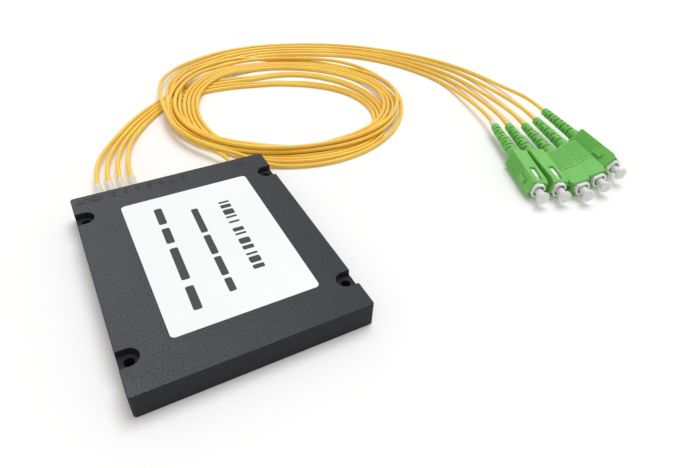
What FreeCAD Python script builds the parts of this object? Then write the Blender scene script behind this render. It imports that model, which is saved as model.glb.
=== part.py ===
import FreeCAD, Part
import Sketcher
import math
import os
import re
from FreeCAD import Vector

# A passive fibre splitter: a flat moulded box with one input and four output
# cables, each ending in a square push-pull plug under a dust cap.
# Millimetres, +Z up, the box's underside centred on the origin, cables leave towards +Y.

doc = FreeCAD.newDocument("FibreSplitter")

# ---------------------------------------------------------------- driving sizes
sheetRows = [
    # the box
    ("boxWidth", 80.0), ("boxLength", 100.0), ("trayHeight", 7.6), ("lidThickness", 2.4),
    ("sideWall", 1.8), ("floorThickness", 1.6), ("boxCornerRadius", 1.2), ("edgeRadius", 0.4),
    ("screwSpacingX", 73.4), ("screwSpacingY", 71.5), ("screwHoleRadius", 1.7),
    ("recessRadius", 3.5), ("bossWall", 1.4),
    ("lipHeight", 1.2), ("lipThickness", 1.2), ("lipLength", 56.0), ("lipClearance", 0.1),
    # the cable ports in the back wall
    ("firstPortX", -28.5), ("portPitch", 4.65), ("inputPortX", 28.0), ("portHeight", 5.0),
    ("portClearance", 0.03), ("knockOutDepth", 0.8),
    ("sleeveRadius", 1.6), ("sleeveReach", 12.0), ("inputSleeveReach", 6.0),
    ("sleeveFlangeRadius", 2.0), ("sleeveFlangeLength", 1.4),
    ("cableRadius", 1.0), ("cableClearance", 0.05), ("coilHeight", 6.0), ("coilBevel", 1.6),
    # the printed label, left blank
    ("labelWidth", 50.8), ("labelLength", 71.2), ("labelThickness", 0.15), ("labelCornerRadius", 1.6),
    ("labelX", 1.9), ("labelY", 0.75),
    # what splits the light
    ("chipWidth", 4.0), ("chipLength", 40.0), ("chipBevel", 0.4), ("chipX", 8.0), ("chipY", 6.0),
    ("cradleWall", 1.0), ("cradleHeight", 3.0), ("cradleClearance", 0.1), ("fibreRadius", 0.45),
    ("postRadius", 1.6), ("postHeight", 5.0), ("postX", -6.0), ("postY", 8.0), ("postGap", 20.0),
    # a plug's coupling shell, lengths measured back from its front rim
    ("shellLength", 25.0), ("shellWidth", 9.0), ("shellHeight", 7.4), ("shellCornerRadius", 0.5),
    ("noseBevelLength", 2.4), ("noseBevelWidth", 0.9),
    ("keyWidth", 2.2), ("keyLength", 4.7), ("keyHeight", 0.9), ("keyStart", 5.2),
    ("windowStart", 1.5), ("windowLength", 9.2), ("windowHeight", 2.7),
    ("gripStart", 10.2), ("gripStep", 0.25), ("ribWidth", 0.5), ("ribPitch", 1.1), ("ribCount", 12),
    ("ribDepth", 0.2),
    # the plug frame that slides in it
    ("frameWidth", 6.4), ("frameHeight", 5.3), ("frameClearance", 0.1), ("frameReach", 1.6),
    ("frameLength", 21.0), ("frameBevel", 1.1), ("frameMouthWidth", 4.9), ("frameMouthHeight", 4.0),
    ("frameMouthBevel", 0.9), ("frameMouthDepth", 8.5), ("latchLength", 6.0), ("latchHeight", 0.8),
    ("latchStart", 3.7), ("latchWidth", 1.8), ("latchRamp", 0.6),
    # the ferrule and its dust cap
    ("ferruleRadius", 1.25), ("ferruleReach", 0.8), ("ferruleLength", 10.4), ("ferruleTaper", 0.4),
    ("flangeRadius", 2.1), ("flangeLength", 3.0), ("runningClearance", 0.04),
    ("capRadius", 1.65), ("capReach", 5.6), ("capDepth", 4.6), ("capRimRadius", 2.85), ("capRimLength", 1.3),
    ("capRimRound", 0.5),
    # the metal stop body, and the boot over it
    ("stopRadius", 2.2), ("stopLength", 5.6), ("collarRadius", 2.5), ("collarLength", 2.0),
    ("tailRadius", 1.8), ("tailEnd", 29.5),
    ("bootRadius", 2.9), ("bootNeckRadius", 2.65), ("bootTipRadius", 2.05), ("bootEnd", 53.2),
    ("bootCollarLength", 7.4), ("slotWidth", 0.75), ("slotPitch", 2.6), ("slotCount", 4),
    ("slotStart", 30.8), ("bridgeHalf", 0.9), ("shellMouthRadius", 3.05), ("bendReach", 16.0),
    # the fibres inside
    ("fibreGap", 0.05), ("turnReach", 8.0),
]

# Each plug lies where its cable drops it: front rim's centre, heading from -Y towards -X, roll.
plugPlaces = [
    (171.7, -26.1, 12.3, -19.0),
    (160.15, -27.4, 14.9, -16.0),
    (150.1, -23.6, 17.2, 95.0),
    (140.7, -20.4, 20.0, 100.0),
    (184.6, -22.4, 9.0, 135.0),
]
for number, place in enumerate(plugPlaces, 1):
    for word, value in zip(("X", "Y", "Heading", "Roll"), place):
        sheetRows.append(("plug%d%s" % (number, word), value))

sheet = doc.addObject("Spreadsheet::Sheet", "Sizes")
size = {}
for row, (alias, value) in enumerate(sheetRows, 1):
    sheet.set("A%d" % row, alias)
    sheet.set("B%d" % row, str(value))
    sheet.setAlias("B%d" % row, alias)
    size[alias] = value
doc.recompute()


# ---------------------------------------------------------------- small helpers
def linked(text):
    """Turn plain size names into references to the sheet's cells."""
    return re.sub(r"[A-Za-z]\w*", lambda m: "Sizes." + m.group() if m.group() in size else m.group(), text)


def bind(thing, path, text):
    thing.setExpression(path, linked(text))


def newBody(label):
    body = doc.addObject("PartDesign::Body", "Body_" + label)
    body.Label = label
    return body


def originPlane(body, role):
    return next(f for f in body.Origin.OriginFeatures if f.Role == role)


def newSketch(body, name, plane, offset="0"):
    """A sketch on one of the body's own origin planes, raised by an offset along its normal."""
    sketch = body.newObject("Sketcher::SketchObject", name)
    sketch.AttachmentSupport = [(originPlane(body, plane), "")]
    sketch.MapMode = "FlatFace"
    bind(sketch, "AttachmentOffset.Base.z", offset)
    return sketch


def pin(sketch, geometry, point, across, up):
    """Tie one point of a sketch to the origin by two sizes."""
    for kind, text, axis in (("DistanceX", across, -2), ("DistanceY", up, -1)):
        if text == "0":
            sketch.addConstraint(Sketcher.Constraint("PointOnObject", geometry, point, axis))
        else:
            index = sketch.addConstraint(Sketcher.Constraint(kind, -1, 1, geometry, point, 1.0))
            bind(sketch, "Constraints[%d]" % index, text)


def outline(sketch, corners):
    """A closed outline of straight edges through corners given as pairs of sizes."""
    count = len(corners)
    first = sketch.GeometryCount
    turn = 2 * math.pi / count
    rough = [Vector(5 * math.cos(i * turn), 5 * math.sin(i * turn), 0) for i in range(count)]
    for i in range(count):
        sketch.addGeometry(Part.LineSegment(rough[i], rough[(i + 1) % count]), False)
    for i in range(count):
        sketch.addConstraint(Sketcher.Constraint("Coincident", first + i, 2, first + (i + 1) % count, 1))
    for i, (across, up) in enumerate(corners):
        pin(sketch, first + i, 1, across, up)


def rectangle(sketch, left, right, low, high):
    outline(sketch, [(left, low), (right, low), (right, high), (left, high)])


def circle(sketch, across, up, radius):
    geometry = sketch.addGeometry(Part.Circle(Vector(1, 1, 0), Vector(0, 0, 1), 1.0), False)
    pin(sketch, geometry, 3, across, up)
    index = sketch.addConstraint(Sketcher.Constraint("Radius", geometry, 1.0))
    bind(sketch, "Constraints[%d]" % index, radius)


def extrude(body, kind, name, sketch, length, backwards=False, midplane=False):
    feature = body.newObject("PartDesign::" + kind, name)
    feature.Profile = sketch
    feature.Reversed = backwards
    if midplane:
        feature.SideType = "Symmetric"
    bind(feature, "Length", length)
    doc.recompute()
    return feature


def pad(body, name, sketch, length, **way):
    return extrude(body, "Pad", name, sketch, length, **way)


def pocket(body, name, sketch, length, **way):
    return extrude(body, "Pocket", name, sketch, length, **way)


def revolve(body, kind, name, corners):
    """Turn a closed half outline, (along, out) pairs in the XY plane, about the body's X axis."""
    sketch = newSketch(body, name + "Outline", "XY_Plane")
    outline(sketch, corners)
    feature = body.newObject("PartDesign::" + kind, name)
    feature.Profile = sketch
    feature.ReferenceAxis = (sketch, ["H_Axis"])
    feature.Angle = 360.0
    doc.recompute()
    return feature


def repeat(body, name, feature, sketch, pitch, count):
    """Repeat a feature along its sketch's first axis."""
    pattern = body.newObject("PartDesign::LinearPattern", name)
    pattern.Originals = [feature]
    pattern.Direction = (sketch, ["H_Axis"])
    bind(pattern, "Occurrences", count)
    bind(pattern, "Length", "(%s) * (%s - 1)" % (pitch, count))
    body.Tip = pattern
    doc.recompute()
    return pattern


def dress(body, kind, name, feature, wanted, amount):
    """Round or bevel the edges of a feature that pass a test."""
    names = ["Edge%d" % (i + 1) for i, edge in enumerate(feature.Shape.Edges) if wanted(edge)]
    dressed = body.newObject("PartDesign::" + kind, name)
    dressed.Base = (feature, names)
    bind(dressed, "Radius" if kind == "Fillet" else "Size", amount)
    doc.recompute()
    return dressed


def isStraightAlong(edge, axis):
    if not isinstance(edge.Curve, (Part.Line, Part.LineSegment)):
        return False
    return abs(abs(edge.tangentAt(edge.FirstParameter).dot(axis)) - 1) < 1e-6


def atLevel(edge, level):
    box = edge.BoundBox
    return abs(box.ZMin - level) < 1e-4 and abs(box.ZMax - level) < 1e-4


xAxis, yAxis, zAxis = Vector(1, 0, 0), Vector(0, 1, 0), Vector(0, 0, 1)
screwPoints = [(sideX, sideY) for sideX in (-1, 1) for sideY in (-1, 1)]
outputCount = 4
portCount = 8


def screwX(side):
    return "%d * screwSpacingX / 2" % side


def screwY(side):
    return "%d * screwSpacingY / 2" % side


def portX(number):
    return "firstPortX + %d * portPitch" % number


# ---------------------------------------------------------------- the box
def makeTray():
    body = newBody("base_tray")
    sketch = newSketch(body, "TrayOutline", "XY_Plane")
    rectangle(sketch, "-boxWidth / 2", "boxWidth / 2", "-boxLength / 2", "boxLength / 2")
    block = pad(body, "TrayBlock", sketch, "trayHeight")
    rounded = dress(body, "Fillet", "TrayCorners", block, lambda e: isStraightAlong(e, zAxis), "boxCornerRadius")
    dress(body, "Fillet", "TrayFoot", rounded, lambda e: atLevel(e, 0), "edgeRadius")

    # the hollow keeps a solid boss in each corner for the mounting screw
    sketch = newSketch(body, "HollowOutline", "XY_Plane", "trayHeight")
    reachX = "(boxWidth / 2 - sideWall)"
    reachY = "(boxLength / 2 - sideWall)"
    bossX = "(screwSpacingX / 2 - recessRadius - bossWall)"
    low = "(screwSpacingY / 2 - recessRadius - bossWall)"
    high = "(screwSpacingY / 2 + recessRadius + bossWall)"
    quarter = [(reachX, low), (bossX, low), (bossX, high), (reachX, high), (reachX, reachY)]
    corners = list(quarter)
    corners += [("-" + x, y) for x, y in reversed(quarter)]
    corners += [("-" + x, "-" + y) for x, y in quarter]
    corners += [(x, "-" + y) for x, y in reversed(quarter)]
    outline(sketch, corners)
    pocket(body, "Hollow", sketch, "trayHeight - floorThickness")

    sketch = newSketch(body, "ScrewHoles", "XY_Plane", "trayHeight")
    for sideX, sideY in screwPoints:
        circle(sketch, screwX(sideX), screwY(sideY), "screwHoleRadius")
    pocket(body, "ScrewHolePocket", sketch, "trayHeight")

    # ports in the back wall: four outputs and the input go through, four stay closed
    sketch = newSketch(body, "PortHoles", "XZ_Plane", "-boxLength / 2")
    for number in range(outputCount):
        circle(sketch, portX(number), "portHeight", "sleeveRadius + portClearance")
    circle(sketch, "inputPortX", "portHeight", "sleeveRadius + portClearance")
    pocket(body, "PortPocket", sketch, "sideWall", backwards=True)
    sketch = newSketch(body, "KnockOuts", "XZ_Plane", "-boxLength / 2")
    for number in range(outputCount, portCount):
        circle(sketch, portX(number), "portHeight", "sleeveRadius")
    pocket(body, "KnockOutPocket", sketch, "knockOutDepth", backwards=True)

    # a cradle for the splitter chip and two posts that keep the fibre loop open
    sketch = newSketch(body, "CradleRails", "XY_Plane", "floorThickness")
    inner = "(chipWidth / 2 + cradleClearance)"
    outer = "(chipWidth / 2 + cradleClearance + cradleWall)"
    for side in ("-", "+"):
        rectangle(sketch, "chipX %s %s" % (side, outer if side == "-" else inner),
                  "chipX %s %s" % (side, inner if side == "-" else outer),
                  "chipY - chipLength / 4", "chipY + chipLength / 4")
    pad(body, "Cradle", sketch, "cradleHeight")
    sketch = newSketch(body, "PostCircles", "XY_Plane", "floorThickness")
    for side in ("-", "+"):
        circle(sketch, "postX", "postY %s postGap / 2" % side, "postRadius")
    pad(body, "Posts", sketch, "postHeight")
    return body


def makeLid():
    body = newBody("lid")
    top = "trayHeight + lidThickness"
    sketch = newSketch(body, "LidOutline", "XY_Plane", "trayHeight")
    rectangle(sketch, "-boxWidth / 2", "boxWidth / 2", "-boxLength / 2", "boxLength / 2")
    plate = pad(body, "LidPlate", sketch, "lidThickness")
    rounded = dress(body, "Fillet", "LidCorners", plate, lambda e: isStraightAlong(e, zAxis), "boxCornerRadius")
    level = size["trayHeight"] + size["lidThickness"]
    dress(body, "Fillet", "LidRim", rounded, lambda e: atLevel(e, level), "edgeRadius")

    # a round-ended recess over each screw, open to the long side
    sketch = newSketch(body, "RecessEnds", "XY_Plane", top)
    for sideX, sideY in screwPoints:
        circle(sketch, screwX(sideX), screwY(sideY), "recessRadius")
    pocket(body, "RecessEndPocket", sketch, "lidThickness")
    sketch = newSketch(body, "RecessMouths", "XY_Plane", top)
    for sideX, sideY in screwPoints:
        rectangle(sketch, screwX(sideX), "%d * (boxWidth / 2 + 1)" % sideX,
                  screwY(sideY) + " - recessRadius", screwY(sideY) + " + recessRadius")
    pocket(body, "RecessMouthPocket", sketch, "lidThickness")

    # lips that locate the lid inside the tray's walls
    sketch = newSketch(body, "Lips", "XY_Plane", "trayHeight")
    reach = "(boxWidth / 2 - sideWall - lipClearance)"
    for side in ("-", ""):
        rectangle(sketch, "%s%s" % (side, reach), "%s(%s - lipThickness)" % (side, reach),
                  "-lipLength / 2", "lipLength / 2")
    front = "(boxLength / 2 - sideWall - lipClearance)"
    rectangle(sketch, "-lipLength / 2", "lipLength / 2", "-" + front, "-(%s - lipThickness)" % front)
    pad(body, "LipPads", sketch, "lipHeight", backwards=True)
    return body


def makeLabel():
    body = newBody("label")
    sketch = newSketch(body, "LabelOutline", "XY_Plane", "trayHeight + lidThickness")
    rectangle(sketch, "labelX - labelWidth / 2", "labelX + labelWidth / 2",
              "labelY - labelLength / 2", "labelY + labelLength / 2")
    sheetPad = pad(body, "LabelSheet", sketch, "labelThickness")
    dress(body, "Fillet", "LabelCorners", sheetPad, lambda e: isStraightAlong(e, zAxis), "labelCornerRadius")
    return body


def makeChip():
    body = newBody("splitter_chip")
    sketch = newSketch(body, "ChipSection", "XZ_Plane", "-(chipY + chipLength / 2)")
    rectangle(sketch, "chipX - chipWidth / 2", "chipX + chipWidth / 2",
              "floorThickness", "floorThickness + chipWidth")
    block = pad(body, "ChipCase", sketch, "chipLength")
    dress(body, "Chamfer", "ChipEdges", block, lambda e: isStraightAlong(e, yAxis), "chipBevel")
    return body


def makeSleeve(label, acrossText, reachText):
    """A clear tube that guides a cable out of its port, flanged behind the wall."""
    body = newBody(label)
    flangeFace = "-(boxLength / 2 - sideWall)"
    for name, start, length, radius in (
            ("Tube", flangeFace, "sideWall + " + reachText, "sleeveRadius"),
            ("Flange", flangeFace + " + sleeveFlangeLength", "sleeveFlangeLength", "sleeveFlangeRadius")):
        sketch = newSketch(body, name + "Ring", "XZ_Plane", start)
        circle(sketch, acrossText, "portHeight", radius)
        circle(sketch, acrossText, "portHeight", "cableRadius + cableClearance")
        pad(body, name, sketch, length, backwards=True)
    return body


# ---------------------------------------------------------------- the plug, along its own X axis
def makeShell():
    body = newBody("Master_shell")
    halfWidth = "shellWidth / 2"
    nose = "(shellWidth / 2 - noseBevelWidth)"
    sketch = newSketch(body, "ShellPlan", "XY_Plane")
    outline(sketch, [("-shellLength", "-" + halfWidth), ("-noseBevelLength", "-" + halfWidth), ("0", "-" + nose),
                     ("0", nose), ("-noseBevelLength", halfWidth), ("-shellLength", halfWidth)])
    block = pad(body, "ShellBlock", sketch, "shellHeight", midplane=True)
    dress(body, "Fillet", "ShellEdges", block, lambda e: isStraightAlong(e, xAxis), "shellCornerRadius")

    # the rear grip stands a little proud on both broad faces, with ribs across it
    for name, side, flip in (("Top", "", False), ("Bottom", "-", True)):
        sketch = newSketch(body, "Grip%sOutline" % name, "XY_Plane", side + "shellHeight / 2")
        rectangle(sketch, "-shellLength", "-gripStart", "-%s + shellCornerRadius" % halfWidth,
                  "%s - shellCornerRadius" % halfWidth)
        pad(body, "Grip" + name, sketch, "gripStep", backwards=flip)
        sketch = newSketch(body, "Rib%sOutline" % name, "XY_Plane", side + "(shellHeight / 2 + gripStep)")
        first = "-(shellLength - ribPitch)"
        rectangle(sketch, first, first + " + ribWidth", "-" + halfWidth, halfWidth)
        groove = pocket(body, "RibGroove" + name, sketch, "ribDepth", backwards=flip)
        repeat(body, "RibGrooves" + name, groove, sketch, "ribPitch", "ribCount")

    sketch = newSketch(body, "KeyOutline", "XY_Plane", "-shellHeight / 2")
    rectangle(sketch, "-keyStart - keyLength", "-keyStart", "-keyWidth / 2", "keyWidth / 2")
    pad(body, "Key", sketch, "keyHeight", backwards=True)

    sketch = newSketch(body, "ShellBore", "YZ_Plane")
    rectangle(sketch, "-frameWidth / 2 - frameClearance", "frameWidth / 2 + frameClearance",
              "-frameHeight / 2 - frameClearance", "frameHeight / 2 + frameClearance")
    pocket(body, "ShellBorePocket", sketch, "shellLength")
    sketch = newSketch(body, "ShellMouth", "YZ_Plane", "-shellLength")
    circle(sketch, "0", "0", "shellMouthRadius")
    pocket(body, "ShellMouthPocket", sketch, "shellLength - frameLength + frameReach", backwards=True)
    sketch = newSketch(body, "WindowOutline", "XZ_Plane")
    rectangle(sketch, "-windowStart - windowLength", "-windowStart", "-windowHeight / 2", "windowHeight / 2")
    pocket(body, "Windows", sketch, "shellWidth + 1", midplane=True)
    return body


def cutCorners(sketch, width, height, bevel):
    """A rectangle about the origin with its four corners cut off."""
    wide, tall = "(%s / 2)" % width, "(%s / 2)" % height
    inWide, inTall = "(%s / 2 - %s)" % (width, bevel), "(%s / 2 - %s)" % (height, bevel)
    outline(sketch, [("-" + inWide, "-" + tall), (inWide, "-" + tall), (wide, "-" + inTall), (wide, inTall),
                     (inWide, tall), ("-" + inWide, tall), ("-" + wide, inTall), ("-" + wide, "-" + inTall)])


def makeFrame():
    body = newBody("Master_frame")
    sketch = newSketch(body, "FrameSection", "YZ_Plane", "frameReach")
    cutCorners(sketch, "frameWidth", "frameHeight", "frameBevel")
    pad(body, "FrameBlock", sketch, "frameLength", backwards=True)
    # the latches show in the shell's side windows, and ramp down towards the front
    sketch = newSketch(body, "LatchOutline", "XY_Plane")
    root, top = "(frameWidth / 2 - latchRamp)", "(frameWidth / 2 + latchHeight)"
    for side in ("", "-"):
        outline(sketch, [("-latchStart - latchLength", side + root), ("-latchStart", side + root),
                         ("-latchStart", side + "frameWidth / 2"), ("-latchStart - latchRamp", side + top),
                         ("-latchStart - latchLength", side + top)])
    pad(body, "Latches", sketch, "latchWidth", midplane=True)
    sketch = newSketch(body, "MouthOutline", "YZ_Plane", "frameReach")
    cutCorners(sketch, "frameMouthWidth", "frameMouthHeight", "frameMouthBevel")
    pocket(body, "Mouth", sketch, "frameMouthDepth")
    sketch = newSketch(body, "FrameBore", "YZ_Plane", "frameReach - frameLength")
    circle(sketch, "0", "0", "stopRadius + runningClearance")
    pocket(body, "Bore", sketch, "frameLength - frameMouthDepth", backwards=True)
    return body


def makeFerrule():
    body = newBody("Master_ferrule")
    back = "ferruleReach - ferruleLength"
    revolve(body, "Revolution", "FerruleTurned", [
        ("ferruleReach", "0"), ("ferruleReach", "ferruleRadius - ferruleTaper"),
        ("ferruleReach - ferruleTaper", "ferruleRadius"), (back, "ferruleRadius"),
        (back, "flangeRadius"), (back + " - flangeLength", "flangeRadius"), (back + " - flangeLength", "0")])
    return body


def makeCap():
    body = newBody("Master_cap")
    bore = "ferruleRadius + runningClearance"
    turned = revolve(body, "Revolution", "CapTurned", [
        ("-capDepth", bore), ("-capDepth", "capRadius"), ("capReach", "capRadius"),
        ("capReach", "capRimRadius"), ("capReach + capRimLength", "capRimRadius"),
        ("capReach + capRimLength", "0"), ("ferruleReach + runningClearance", "0"),
        ("ferruleReach + runningClearance", bore)])
    limit = size["capReach"] - 1e-4
    dress(body, "Fillet", "CapRim", turned, lambda e: isinstance(e.Curve, Part.Circle)
          and abs(e.Curve.Radius - size["capRimRadius"]) < 1e-4 and e.BoundBox.XMin > limit, "capRimRound")
    return body


def makeStop():
    """The metal body that closes the frame, with the tail that the boot and the cable's yarn sit on."""
    body = newBody("Master_stop")
    face = "frameReach - frameLength"
    front = face + " + stopLength"
    revolve(body, "Revolution", "StopTurned", [
        (front, "cableRadius + cableClearance"), (front, "stopRadius"), (face, "stopRadius"),
        (face, "collarRadius"), (face + " - collarLength", "collarRadius"),
        (face + " - collarLength", "tailRadius"), ("-tailEnd", "tailRadius"),
        ("-tailEnd", "cableRadius + cableClearance")])
    return body


def makeBoot():
    body = newBody("Master_boot")
    front = "frameReach - frameLength - collarLength"
    neck = front + " - bootCollarLength"
    bore = "cableRadius + cableClearance"
    tail = "tailRadius + cableClearance"
    revolve(body, "Revolution", "BootTurned", [
        (front, tail), (front, "bootRadius"), (neck, "bootRadius"),
        (neck, "bootNeckRadius"), ("-bootEnd", "bootTipRadius"), ("-bootEnd", bore),
        ("-tailEnd", bore), ("-tailEnd", tail)])
    # half slots from two sides, turned a quarter from ring to ring, let the boot bend
    for name, plane, shift in (("Flat", "XZ_Plane", "0"), ("Upright", "XY_Plane", "slotPitch")):
        sketch = newSketch(body, "Slot%sOutline" % name, plane)
        start = "-(slotStart + %s) - 2 * slotPitch * (slotCount - 1)" % shift
        for side in ("", "-"):
            rectangle(sketch, start + " - slotWidth", start, side + "bridgeHalf", side + "bootRadius * 2")
        slot = pocket(body, "Slot" + name, sketch, "bootRadius * 4", midplane=True)
        repeat(body, "Slots" + name, slot, sketch, "2 * slotPitch", "slotCount")
    return body


# A plug rests on its shell's edge, on the edge of its grip or on its key: the highest axis holds.
restingPoints = [("shellWidth / 2", "shellHeight / 2"),
                 ("(shellWidth / 2 - shellCornerRadius)", "(shellHeight / 2 + gripStep)"),
                 ("keyWidth / 2", "(shellHeight / 2 + keyHeight)")]
restHeight = "max(%s)" % "; ".join("%s * abs(sin(plug{0}Roll)) + %s * abs(cos(plug{0}Roll))" % point
                                   for point in restingPoints)


def placePlugPiece(master, label, number):
    """Set one copy of a plug's piece down where plug `number` lies."""
    piece = doc.addObject("Part::Compound", "Piece_" + label)
    piece.Label = label
    piece.Links = [master]
    where = ("create(<<placement>>; create(<<vector>>; plug{0}X; plug{0}Y; " + restHeight + ");"
             " create(<<rotation>>; -90 - plug{0}Heading; 0; -plug{0}Roll))")
    bind(piece, "Placement", where.format(number))
    doc.recompute()
    return piece


# ---------------------------------------------------------------- the cables and inner fibres
def roundedPath(points):
    """Straight runs joined by tangent arcs, each as large as its two runs allow, and their radii."""
    edges, radii = [], []
    last = points[0]
    for before, corner, after in zip(points, points[1:], points[2:]):
        into, out = corner - before, after - corner
        cut = 0.45 * min(into.Length, out.Length)
        turn = into.getAngle(out)
        into.normalize()
        out.normalize()
        radius = cut / math.tan(turn / 2)
        radii.append(radius)
        start, end = corner - into * cut, corner + out * cut
        inward = (out - into).normalize()
        middle = corner + inward * (radius / math.cos(turn / 2) - radius)
        edges.append(Part.LineSegment(last, start).toShape())
        edges.append(Part.Arc(start, middle, end).toShape())
        last = end
    edges.append(Part.LineSegment(last, points[-1]).toShape())
    return Part.Wire(edges), radii


def makeTube(label, points, radius):
    """A cable or fibre along its route; its volume is held against section times length."""
    path, radii = roundedPath([Vector(*p) for p in points])
    start, direction = Vector(*points[0]), Vector(*points[1]) - Vector(*points[0])
    section = Part.Wire([Part.Circle(start, direction, radius).toShape()])
    solid = path.makePipeShell([section], True, False)
    expected = math.pi * radius ** 2 * path.Length
    tube = doc.addObject("Part::Feature", "Tube_" + label)
    tube.Label = label
    tube.Shape = solid
    smallest = min(radii) if radii else float("inf")
    print("%-16s length %7.1f  smallest radius %6.1f  volume ratio %.4f"
          % (label, path.Length, smallest, solid.Volume / expected))
    if abs(solid.Volume / expected - 1) > 0.01:
        raise ValueError(label + " does not have its section times its length")
    return tube


# Outline of the loose coil: radii every 30 degrees from +X, about the coil's middle.
coilMiddle = (72.0, 98.0)
coilOuterRadii = [68.5, 67.5, 61.0, 64.0, 66.5, 63.0, 62.0, 59.0, 55.5, 57.7, 61.5, 65.0]
coilInnerRadii = [39.5, 29.5, 27.0, 29.0, 38.0, 45.5, 42.0, 41.0, 38.5, 39.5, 46.5, 47.5]


def coilOutline(radii):
    turn = 2 * math.pi / len(radii)
    points = [Vector(coilMiddle[0] + r * math.cos(i * turn), coilMiddle[1] + r * math.sin(i * turn), 0)
              for i, r in enumerate(radii)]
    curve = Part.BSplineCurve()
    curve.interpolate(points, PeriodicFlag=True)
    return Part.Wire([curve.toShape()])


def makeCoil():
    """The outer shape of the loose turns in which all five cables lie."""
    ring = Part.Face(coilOutline(coilOuterRadii)).cut(Part.Face(coilOutline(coilInnerRadii)))
    solid = ring.Faces[0].extrude(Vector(0, 0, size["coilHeight"]))
    rims = [edge for edge in solid.Edges if edge.BoundBox.ZLength < 0.01]
    coil = doc.addObject("Part::Feature", "Tube_cable_coil")
    coil.Label = "cable_coil"
    coil.Shape = solid.makeChamfer(size["coilBevel"], rims)
    return coil


def plugAxisPoint(number, behind):
    """A point on a plug's axis, a distance behind its front rim."""
    frame = doc.getObject("Piece_plug_frame_%d" % number)
    return tuple(frame.Placement.multVec(Vector(-behind, 0, 0)))


# From the ports to the coil: outermost and innermost output; the two between are spread evenly.
outputRouteFirst = [(-28.5, 73.5, 5.0), (-15.5, 98.0, 2.0), (1.0, 121.6, 1.0), (25.4, 139.4, 1.0)]
outputRouteLast = [(-14.55, 73.5, 5.0), (-6.0, 99.4, 2.0), (7.6, 117.0, 1.0), (19.4, 126.6, 1.0)]
inputRoute = [(28.0, 64.2, 5.0)]

# From the coil round to each plug; the last two points lie on the plug's axis.
plugRoutes = [
    [(27.6, 142.0, 1.0), (37.0, 160.2, 1.0), (53.0, 171.0, 1.0), (73.0, 176.0, 1.0), (95.0, 173.8, 1.0),
     (117.0, 166.4, 1.0), (138.0, 155.6, 1.0), (157.0, 140.5, 1.0), (173.0, 122.0, 1.0), (184.5, 102.0, 1.0),
     (189.5, 81.0, 1.0)],
    [(38.0, 153.6, 1.0), (51.0, 165.4, 1.0), (70.0, 172.2, 1.0), (92.0, 170.6, 1.0), (113.0, 163.6, 1.0),
     (134.0, 153.2, 1.0), (153.0, 138.0, 1.0), (168.5, 118.5, 1.0), (178.5, 99.0, 1.0), (182.5, 80.0, 1.0)],
    [(48.5, 157.0, 1.0), (62.0, 165.6, 1.0), (80.0, 168.6, 1.0), (101.0, 164.3, 1.0), (123.0, 155.8, 1.0),
     (143.5, 143.5, 1.0), (160.0, 125.0, 1.0), (170.5, 105.0, 1.0), (176.5, 84.5, 1.0)],
    [(60.0, 158.6, 1.0), (80.0, 165.2, 1.0), (100.0, 160.5, 1.0), (121.0, 152.0, 1.0), (140.0, 140.5, 1.0),
     (155.5, 123.0, 1.0), (165.5, 103.5, 1.0), (170.5, 84.5, 1.0)],
    [(14.0, 117.0, 3.4), (17.0, 139.0, 3.6), (27.5, 159.5, 1.2), (45.0, 173.6, 1.0), (68.0, 179.8, 1.0),
     (92.0, 178.0, 1.0), (115.0, 171.0, 1.0), (136.0, 161.0, 1.0), (155.0, 147.5, 1.0), (171.5, 130.0, 1.0),
     (187.5, 109.0, 1.0), (199.0, 86.0, 1.0)],
]

portInnerY = size["boxLength"] / 2 - size["sideWall"] - size["sleeveFlangeLength"]
chipMiddleHeight = size["floorThickness"] + size["chipWidth"] / 2
chipBackY = size["chipY"] + size["chipLength"] / 2
chipFrontY = size["chipY"] - size["chipLength"] / 2
fibreRest = size["floorThickness"] + size["fibreRadius"]


def outputPortX(number):
    return size["firstPortX"] + (number - 1) * size["portPitch"]


def makeLeadIns():
    for number in range(1, outputCount + 1):
        share = (number - 1) / (outputCount - 1)
        route = [(outputPortX(number), portInnerY, size["portHeight"])]
        for first, last in zip(outputRouteFirst, outputRouteLast):
            route.append(tuple(a + share * (b - a) for a, b in zip(first, last)))
        makeTube("lead_in_%d" % number, route, size["cableRadius"])
    route = [(size["inputPortX"], portInnerY, size["portHeight"])] + inputRoute
    makeTube("lead_in_5", route, size["cableRadius"])


def makeLeadOuts():
    bend = size["bootEnd"] + size["bendReach"]
    for number, route in enumerate(plugRoutes, 1):
        ends = [plugAxisPoint(number, bend), plugAxisPoint(number, size["tailEnd"])]
        makeTube("lead_out_%d" % number, route + ends, size["cableRadius"])


# An output fibre from its port down to the chip's level: aside, along the box, above that level.
outputFall = [(-0.2, 30.0, 0.6), (0.0, 9.0, 0.0)]

# The input fibre falls from its port, lies once round the box's floor and climbs to the chip.
inputFall = [(28.3, 32.0, 3.2)]
inputLoop = [(30.0, 16.0), (31.2, -4.0), (27.0, -24.0), (13.0, -40.0), (-9.0, -44.5), (-27.0, -33.5),
             (-34.0, -13.0), (-34.2, 9.0), (-28.0, 28.0), (-14.0, 39.8), (2.1, 41.0)]
inputClimbY = 35.1


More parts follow.
